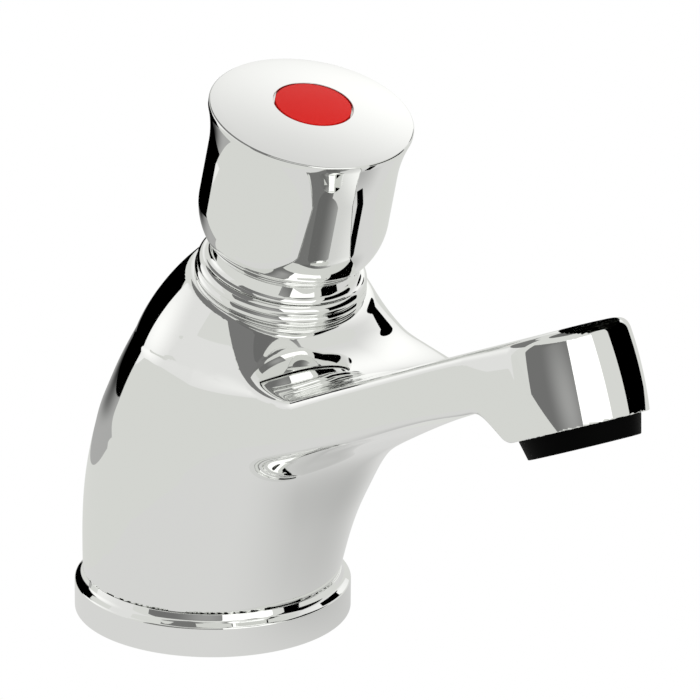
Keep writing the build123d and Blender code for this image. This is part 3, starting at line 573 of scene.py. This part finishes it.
def netOf(field, axes):
    # Surface net: one point per crossed cell, one square per crossed edge
    count = [len(a) for a in axes]
    values = np.empty(count, np.float32)
    blockRows = 8
    for i in range(0, count[0], blockRows):
        block = np.meshgrid(axes[0][i : i + blockRows], axes[1], axes[2], indexing="ij")
        values[i : i + blockRows] = field(*block)
    inside = values < 0
    corners = [(i, j, k) for i in (0, 1) for j in (0, 1) for k in (0, 1)]
    filled = np.zeros([c - 1 for c in count], np.int8)
    for o in corners:
        filled += inside[tuple(slice(o[i], count[i] - 1 + o[i]) for i in range(3))]
    cells = np.argwhere((filled > 0) & (filled < 8))
    number = -np.ones([c - 1 for c in count], np.int64)
    number[tuple(cells.T)] = np.arange(len(cells))
    total, hits = np.zeros((len(cells), 3)), np.zeros(len(cells))
    for o in corners:
        for axis in range(3):
            if o[axis]:
                continue
            far = list(o)
            far[axis] = 1
            va = values[tuple((cells + o).T)]
            vb = values[tuple((cells + far).T)]
            crossed = (va < 0) != (vb < 0)
            share = np.where(crossed, va / np.where(crossed, va - vb, 1), 0)
            spot = cells + np.array(o, float)
            spot[:, axis] += share
            total[crossed] += spot[crossed]
            hits[crossed] += 1
    spots = total / hits[:, None]
    points = np.stack([np.interp(spots[:, i], np.arange(count[i]), axes[i]) for i in range(3)], 1)
    faces = []
    for axis in range(3):
        u, w = (axis + 1) % 3, (axis + 2) % 3
        start = [slice(1, c - 1) for c in count]
        start[axis] = slice(0, count[axis] - 1)
        nextOne = list(start)
        nextOne[axis] = slice(1, count[axis])
        a, b = inside[tuple(start)], inside[tuple(nextOne)]
        spots = np.argwhere(a != b) + [s.start for s in start]
        goingOut = inside[tuple(spots.T)]
        back = np.zeros((4, 3), int)
        back[1, u] = back[2, u] = back[2, w] = back[3, w] = -1
        quad = np.stack([number[tuple((spots + o).T)] for o in back], 1)
        quad[~goingOut] = quad[~goingOut][:, ::-1]
        faces.append(quad)
    return points, np.concatenate(faces)


def rowsOf(ends, shares):
    # The last stretch runs one step past its end
    step = body["net"]["step"]
    runs = []
    for i, share in enumerate(shares):
        past = step if i == len(shares) - 1 else 0
        runs.append(np.arange(ends[i], ends[i + 1] + past, step * share))
    return np.concatenate(runs)


def castBody():
    # Finer rows at the nose's lip and the collar's seat, then each point is pulled to the true surface
    net = body["net"]
    axes = [rowsOf(*net[key]) for key in ("across", "along", "up")]
    points, faces = netOf(bodyField, axes)
    for _ in range(net["pulls"]):
        value = bodyField(*points.T)
        slope = gradient(bodyField, points)
        move = value[:, None] * slope / np.maximum((slope * slope).sum(1), net["leastSlope"])[:, None]
        longest = np.linalg.norm(move, axis=1)
        move *= np.minimum(1, net["longestPull"] * net["step"] / np.maximum(longest, 1e-9))[:, None]
        points = points - move
    normals = gradient(bodyField, points)
    normals /= np.linalg.norm(normals, axis=1)[:, None]
    print("cast body points", len(points))
    return smoothMesh("cast_body", points, faces.tolist(), normals=normals)


standsFor(castBody(), "tap_body", "tap", "polished_chrome")
print("cast body made")


# The turned outside pieces, as outlines of radius, height and fillet

base = {
    "radius": 25.0,
    "wall": 5.6,
    "edge": 0.55,
    "cove": (0.5, 0.75),
    "topRadius": 23.3,
    "top": 7.57,
    "bore": 10.6,
    "recess": 21.53,
    "recessTop": 1.6,
    "around": 224,
}


def baseRing():
    coveOut, coveUp = base["cove"]
    corners = [
        (base["bore"], base["recessTop"], 0),
        (base["recess"], base["recessTop"], 0.1),
        (base["recess"], 0, 0.2),
        (base["radius"], 0, 0.35),
        (base["radius"], base["wall"], base["edge"]),
        (base["topRadius"] + coveOut, base["wall"] + coveUp, 1.2),
        (base["topRadius"], base["top"], 0.15),
        (base["bore"], base["top"], 0),
    ]
    return turned("base_ring", corners, upright, base["around"])


collar = {
    "radius": 15.2,
    "edge": 14.85,
    "seatGap": 0.03,
    "beadHeight": 1.85,
    "lowerCrest": 0.92,
    "upperCrest": (14.95, 0.85),
    "coveRadius": 1.3,
    "neck": 12.9,
    "neckTop": 90.0,
    "inside": 10.7,
    "floor": 78,
    "bushPocket": (5.23, 68.1),
    "stemHole": (3.4, 66.5),
    "under": 7.12,
    "tail": 12.37,
    "bottom": 62.69,
    "around": 224,
}


def beadedCollar():
    c = collar
    seat = collarSeat + c["seatGap"]
    join, top = seat + c["beadHeight"], seat + 2 * c["beadHeight"]
    foot = c["neck"] + c["coveRadius"]
    coveTop = top + c["coveRadius"]
    crest, crestUp = c["upperCrest"]
    lower = arc((c["edge"], seat), (c["radius"], seat + c["lowerCrest"]), (c["edge"], join), 12)
    upper = arc((c["edge"], join), (crest, join + crestUp), (foot, top), 12)
    turnIn = c["coveRadius"] * (1 - math.cos(math.pi / 4))
    cove = arc((foot, top), (c["neck"] + turnIn, top + turnIn), (c["neck"], coveTop), 10)
    bush, bushFloor = c["bushPocket"]
    hole, holeEnd = c["stemHole"]
    corners = [
        (c["tail"], seat, 0.15),
        (c["edge"], seat, 0.1),
        *lower,
        (c["edge"], join, 0),
        *upper,
        (foot, top, 0),
        *cove,
        (c["neck"], coveTop, None),
        (c["neck"], c["neckTop"], 0.4),
        (c["inside"], c["neckTop"], 0.2),
        (c["inside"], c["floor"], 0.2),
        (bush, c["floor"], 0.1),
        (bush, bushFloor, 0),
        (hole, bushFloor, 0),
        (hole, holeEnd, 0.1),
        (c["under"], holeEnd, 0),
        (c["under"], c["bottom"], 0.2),
        (c["tail"], c["bottom"], 0.4),
    ]
    return turned("beaded_collar", corners, headFrame, c["around"])


button = {
    "mouth": 78.2,
    "mouthEdge": 13.56,
    "mouthInside": 13.25,
    "lipTop": 80.6,
    "bellyMiddle": (15.55, 81.35),
    "bellyTop": 86.2,
    "belly": 16.58,
    "waist": 16.5,
    "flareBottom": 96.4,
    "flareMiddle": (16.83, 100.45),
    "rim": 17.8,
    "rimBottom": 104.4,
    "rimTop": 105.4,
    "rimDrop": 0.12,
    "rimRound": 0.35,
    "domeMiddle": (12.3, 106.38),
    "recess": 6.95,
    "recessTop": 107.0,
    "recessFloor": 105.5,
    "screwHead": (3.12, 103.45),
    "screwHole": (1.72, 98.31),
    "stemSocket": (2.53, 96.28),
    "boss": 4.6,
    "inside": 14.2,
    "ceiling": 103,
    "around": 224,
}


def pushButton():
    b = button
    belly = arc((b["mouthEdge"], b["mouth"]), b["bellyMiddle"], (b["belly"], b["bellyTop"]), 20)
    flare = arc((b["waist"], b["flareBottom"]), b["flareMiddle"], (b["rim"], b["rimBottom"]), 16)
    domeStart = (b["rim"] - b["rimRound"], b["rimTop"])
    dome = arc(domeStart, b["domeMiddle"], (b["recess"], b["recessTop"]), 14)
    head, headFloor = b["screwHead"]
    hole, holeEnd = b["screwHole"]
    socket, socketEnd = b["stemSocket"]
    corners = [
        (b["mouthInside"], b["mouth"], 0.25),
        (b["mouthEdge"], b["mouth"], 0.12),
        *belly,
        (b["belly"], b["bellyTop"], None),
        (b["waist"], b["flareBottom"], None),
        *flare,
        (b["rim"], b["rimBottom"], None),
        (b["rim"], b["rimTop"] - b["rimDrop"], 0.34),
        *dome,
        (b["recess"], b["recessTop"], 0.12),
        (b["recess"], b["recessFloor"], 0),
        (head, b["recessFloor"], 0),
        (head, headFloor, 0),
        (hole, headFloor, 0),
        (hole, holeEnd, 0),
        (socket, holeEnd, 0),
        (socket, socketEnd, 0),
        (b["boss"], socketEnd, 0.2),
        (b["boss"], b["ceiling"], 0.3),
        (b["inside"], b["ceiling"], 0.4),
        (b["inside"], b["lipTop"], 0),
        (b["mouthInside"], b["lipTop"], 0.1),
    ]
    return turned("push_cap", corners, headFrame, b["around"])


disc = {
    "radius": 6.62,
    "bottom": 105.53,
    "edge": 107.0,
    "edgeRound": 0.1,
    "top": 107.3,
    "halfwayDrop": 0.07,
    "around": 128,
}


def colourDisc():
    d = disc
    start = (d["radius"] - d["edgeRound"], d["edge"])
    dome = arc(start, (d["radius"] / 2, d["top"] - d["halfwayDrop"]), (0, d["top"]), 10)
    corners = [(0, d["bottom"], 0), (d["radius"], d["bottom"], 0), (d["radius"], d["edge"], d["edgeRound"])]
    corners += [*dome, (0, d["top"], 0)]
    return turned("colour_disc", corners, headFrame, d["around"])


insert = {
    "top": 10.24,
    "bottom": 9.44,
    "drop": 3.43,
    "mouthInside": 6.1,
    "ledge": -1.715,
    "thread": 9.2,
    "threadTop": 6.5,
    "threadInside": 7.0,
    "gap": 0.05,
}


def outletInsert():
    i = insert
    corners = [
        (i["mouthInside"], -i["drop"], 0.3),
        (i["bottom"], -i["drop"], 0.25),
        (i["top"], -i["gap"], 0.1),
        (i["thread"], -i["gap"], 0),
        (i["thread"], i["threadTop"], 0.3),
        (i["threadInside"], i["threadTop"], 0.1),
        (i["threadInside"], i["ledge"], 0),
        (i["mouthInside"], i["ledge"], 0.1),
    ]
    return turned("outlet_ring", corners, noseFrame)


standsFor(baseRing(), "base_plate", "tap", "polished_chrome")
standsFor(beadedCollar(), "bonnet_collar", "tap", "polished_chrome")
standsFor(pushButton(), "push_button", "button", "polished_chrome")
standsFor(colourDisc(), "indice_disc", "button", "red_plastic")
standsFor(outletInsert(), "outlet_insert", "tap", "black_plastic")
print("turned pieces made")


# Springs and seal rings. A wire's or cord's size is its radius

springs = {
    "return_spring": {"coil": 5.4, "wire": 0.5, "turns": 5, "ends": (79.4, 94.2), "joint": "button_press"},
    "main_spring": {"coil": 5.0, "wire": 0.4, "turns": 4, "ends": (44.6, 52.6), "joint": "piston_stroke"},
}
coil = {"gap": 0.03, "perTurn": 40, "flatTurns": 0.7, "even": 0.85, "eased": 0.15, "thinner": 0.02}


def coilSpring(name, s):
    # The end turns lie flat, and the wire between them climbs smoothly
    bottom, top = s["ends"]
    low, high = bottom + s["wire"] + coil["gap"], top - s["wire"] - coil["gap"]
    path = []
    steps = s["turns"] * coil["perTurn"]
    flat = coil["flatTurns"] / s["turns"]
    for i in range(steps + 1):
        share = i / steps
        climb = min(max((share - flat) / (1 - 2 * flat), 0), 1)
        climb = coil["even"] * climb + coil["eased"] * climb * climb * (3 - 2 * climb)
        a = 2 * math.pi * s["turns"] * share
        path.append((s["coil"] * math.cos(a), s["coil"] * math.sin(a), low + (high - low) * climb))
    piece = sweptWire(name + "_wire", path, s["wire"] - coil["thinner"], headFrame)
    standsFor(piece, name, "tap", "steel")
    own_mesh(piece)


seals = {"housing_lower_ring": 31.748, "housing_upper_ring": 45.751}
seal = {"radius": 9.07, "cord": 0.86, "sides": 20, "around": 96}


def sealRing(name, height):
    cord = seal["cord"]
    corners = []
    for i in range(seal["sides"]):
        a = 2 * math.pi * i / seal["sides"]
        corners.append((seal["radius"] + cord * math.cos(a), height + cord * math.sin(a), None))
    piece = turned(name + "_cord", corners, headFrame, seal["around"])
    standsFor(piece, name, "tap", "black_rubber")


for name, s in springs.items():
    coilSpring(name, s)
for name, height in seals.items():
    sealRing(name, height)
print("springs and rings made")


# Studio. The camera sees only the reflections of its cards and patches

studio = {
    "middle": (0, -55, 60),
    "tent": (0.71, 0.717, 0.69),
    "floor": (0.70, 0.708, 0.68),
    "floorHalf": 2500,
    "sheet": (1.0, 1.0, 0.985),
    "cardStep": 5,
    "roundSides": 32,
}


def glow(name, colour, strength, soft=None):
    material = bpy.data.materials.new(name)
    material.use_nodes = True
    tree = material.node_tree
    tree.nodes.clear()
    out = tree.nodes.new("ShaderNodeOutputMaterial")
    light = tree.nodes.new("ShaderNodeEmission")
    light.inputs["Color"].default_value = (*colour, 1)
    light.inputs["Strength"].default_value = strength
    tree.links.new(light.outputs["Emission"], out.inputs["Surface"])
    if soft:
        # Brighter towards the card's middle
        place = tree.nodes.new("ShaderNodeTexCoord")
        ball = tree.nodes.new("ShaderNodeTexGradient")
        ball.gradient_type = "SPHERICAL"
        shift = tree.nodes.new("ShaderNodeMapping")
        shift.inputs["Location"].default_value = soft["shift"]
        shift.inputs["Scale"].default_value = soft["scale"]
        spread = tree.nodes.new("ShaderNodeMapRange")
        spread.interpolation_type = "SMOOTHSTEP"
        spread.inputs["To Min"].default_value = strength
        spread.inputs["To Max"].default_value = soft["bright"]
        tree.links.new(place.outputs["Object"], shift.inputs["Vector"])
        tree.links.new(shift.outputs["Vector"], ball.inputs["Vector"])
        tree.links.new(ball.outputs["Fac"], spread.inputs["Value"])
        tree.links.new(spread.outputs["Result"], light.inputs["Strength"])
    return material


def whiteToCamera(tree, colour):
    # The camera sees pure white, and the metal sees the tent's own tone
    path = tree.nodes.new("ShaderNodeLightPath")
    mix = tree.nodes.new("ShaderNodeMix")
    mix.data_type = "RGBA"
    mix.inputs["A"].default_value = (*colour, 1)
    mix.inputs["B"].default_value = (1, 1, 1, 1)
    tree.links.new(path.outputs["Is Camera Ray"], mix.inputs["Factor"])
    return mix.outputs["Result"]


def tent():
    world = bpy.data.worlds.new("tent")
    bpy.context.scene.world = world
    world.use_nodes = True
    tree = world.node_tree
    back = tree.nodes["Background"]
    tree.links.new(whiteToCamera(tree, studio["tent"]), back.inputs["Color"])


def floorPlane():
    size = studio["floorHalf"]
    points = [(-size, -size, 0), (size, -size, 0), (size, size, 0), (-size, size, 0)]
    plane = smoothMesh("floor", points, [[0, 1, 2, 3]])
    material = glow("floor", studio["floor"], 1)
    tree = material.node_tree
    light = next(n for n in tree.nodes if n.type == "EMISSION")
    tree.links.new(whiteToCamera(tree, studio["floor"]), light.inputs["Color"])
    plane.data.materials.append(material)
    plane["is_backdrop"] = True


# Cards stand round the tap at an azimuth, where 0 is behind it and 90 to its right, and an elevation.
# The away value is the distance from the tap's middle, and a soft card is brightest at one place
cards = {
    "opening": {
        "azimuth": (-153, -86),
        "elevation": (-4, 36),
        "away": 900,
        "strength": 0.17,
        "soft": {"azimuth": -138, "elevation": 12, "spread": 460, "bright": 0.36},
    },
    "window": {"azimuth": (-200, -153), "elevation": (8, 37), "away": 900, "strength": 1.3},
    "leftWall": {
        "azimuth": (-66, -17),
        "elevation": (-9, 42),
        "away": 300,
        "strength": 0.78,
        "soft": {"azimuth": -26, "elevation": 6, "spread": 150, "bright": 1.05},
    },
    "backFlag": {"azimuth": (-17, 24), "elevation": (-12, 16), "away": 285, "strength": 0.0},
    "rightWindow": {
        "azimuth": (18, 104),
        "elevation": (8, 74),
        "away": 600,
        "strength": 0.72,
        "soft": {"azimuth": 52, "elevation": 30, "spread": 430, "bright": 1.1},
    },
    "ovalFlag": {"azimuth": (66, 80), "elevation": (17, 37), "away": 560, "strength": 0.0, "round": True},
    "ridgeFlag": {"azimuth": (14, 30), "elevation": (0, 32), "away": 85, "strength": 0.0},
    "leftShade": {"azimuth": (-95, -2), "elevation": (38, 69), "away": 120, "strength": 0.19},
    "noseFlag": {"azimuth": (92, 144), "elevation": (-6, 34), "away": 155, "strength": 0.0},
    "roof": {
        "azimuth": (-180, 180),
        "elevation": (67, 90),
        "away": 900,
        "strength": 0.15,
        "soft": {"azimuth": 90, "elevation": 58, "spread": 600, "bright": 0.65},
    },
}
# Patches lie on the floor, as corners and a strength
patches = {
    "backShade": {
        "corners": ((-62, 95), (62, 95), (105, 232), (-88, 232)),
        "height": 0.3,
        "strength": 0.42,
        "soft": {"place": (20, 235), "spread": 125, "bright": 0.0},
    },
    "sideFlag": {"corners": ((57, -85), (68, -75), (105, -109), (87, -125)), "height": 0.5, "strength": 0.0},
    "footShade": {
        "corners": ((-60, -120), (130, -120), (130, 30), (-60, 30)),
        "height": 0.1,
        "strength": 0.7,
        "soft": {"place": (42, -52), "spread": 66, "bright": 0.42},
    },
}


def sheetOf(name, points, columns, sizes, centre):
    rows = len(points) // (columns + 1) - 1
    faces = []
    for i in range(rows):
        for k in range(columns):
            n = i * (columns + 1) + k
            faces.append([n, n + 1, n + columns + 2, n + columns + 1])
    sheet = smoothMesh(name, points, faces)
    soft = sizes.get("soft")
    if soft:
        scale = 1 / (soft["spread"] * mm)
        shift = [-c * mm * scale for c in centre]
        soft = {"shift": shift, "scale": (scale, scale, scale), "bright": soft["bright"]}
    sheet.data.materials.append(glow(name, studio["sheet"], sizes["strength"], soft))
    sheet.visible_camera = False
    sheet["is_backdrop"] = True


def onSphere(azimuth, elevation, away):
    a, e = math.radians(azimuth), math.radians(elevation)
    way = np.array([math.sin(a) * math.cos(e), math.cos(a) * math.cos(e), math.sin(e)])
    return np.array(studio["middle"], float) + way * away


def card(name, sizes):
    # A curved patch of a sphere round the tap's middle
    a0, a1 = sizes["azimuth"]
    e0, e1 = sizes["elevation"]
    columns = max(2, round((a1 - a0) / studio["cardStep"]))
    rows = max(2, round((e1 - e0) / studio["cardStep"]))
    points = []
    if sizes.get("round"):
        columns, rows = studio["roundSides"], 1
    for i in range(rows + 1):
        for k in range(columns + 1):
            azimuth, elevation = a0 + (a1 - a0) * k / columns, e0 + (e1 - e0) * i / rows
            if sizes.get("round"):
                turn = 2 * math.pi * k / columns
                azimuth = (a0 + a1) / 2 + (a1 - a0) / 2 * i * math.cos(turn)
                elevation = (e0 + e1) / 2 + (e1 - e0) / 2 * i * math.sin(turn)
            points.append(onSphere(azimuth, elevation, sizes["away"]))
    soft = sizes.get("soft")
    centre = onSphere(soft["azimuth"], soft["elevation"], sizes["away"]) if soft else None
    sheetOf(name, points, columns, sizes, centre)


def floorPatch(name, sizes):
    a, b, c, d = [(x, y, sizes["height"]) for x, y in sizes["corners"]]
    soft = sizes.get("soft")
    sheetOf(name, [a, b, d, c], 1, sizes, (*soft["place"], sizes["height"]) if soft else None)


lampKey = {"energy": 0.6, "spread": 20, "turn": (35, -20, 0)}


def keyLamp():
    # Lights the plastics and rubbers, and stays out of the metal's reflections
    lamp = bpy.data.lights.new("key", "SUN")
    lamp.energy = lampKey["energy"]
    lamp.angle = math.radians(lampKey["spread"])
    key = newObject("key", lamp)
    key.rotation_euler = [math.radians(a) for a in lampKey["turn"]]
    key.visible_glossy = False
    key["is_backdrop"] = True


tent()
floorPlane()
keyLamp()
for name, sizes in cards.items():
    card(name, sizes)
for name, sizes in patches.items():
    floorPatch(name, sizes)
print("studio made")


# Camera

view = {
    "place": (-512.896, -767.170, 385.212),
    "right": (0.8181462, -0.5749416, 0.0088879),
    "up": (0.1899646, 0.2848454, 0.9395619),
    "ahead": (0.5427249, 0.7670106, -0.3422637),
    "lens": 283.18,
    "sensor": 36,
    "clip": 20,
}


def photoCamera():
    lens = bpy.data.cameras.new("photo_camera")
    lens.lens = view["lens"]
    lens.sensor_width = view["sensor"]
    lens.clip_end = view["clip"]
    camera = newObject("photo_camera", lens)
    turn = Matrix((view["right"], view["up"], [-a for a in view["ahead"]])).transposed()
    camera.matrix_world = Matrix.Translation(Vector(view["place"]) * mm) @ turn.to_4x4()
    bpy.context.scene.camera = camera


photoCamera()
bpy.context.scene.view_settings.view_transform = "Standard"
bpy.context.scene.cycles.max_bounces = 16
bpy.context.scene.cycles.glossy_bounces = 12

sizes = {"before": [list(c) for c in boxBefore], "after": [list(c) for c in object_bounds()]}
print("scene done")
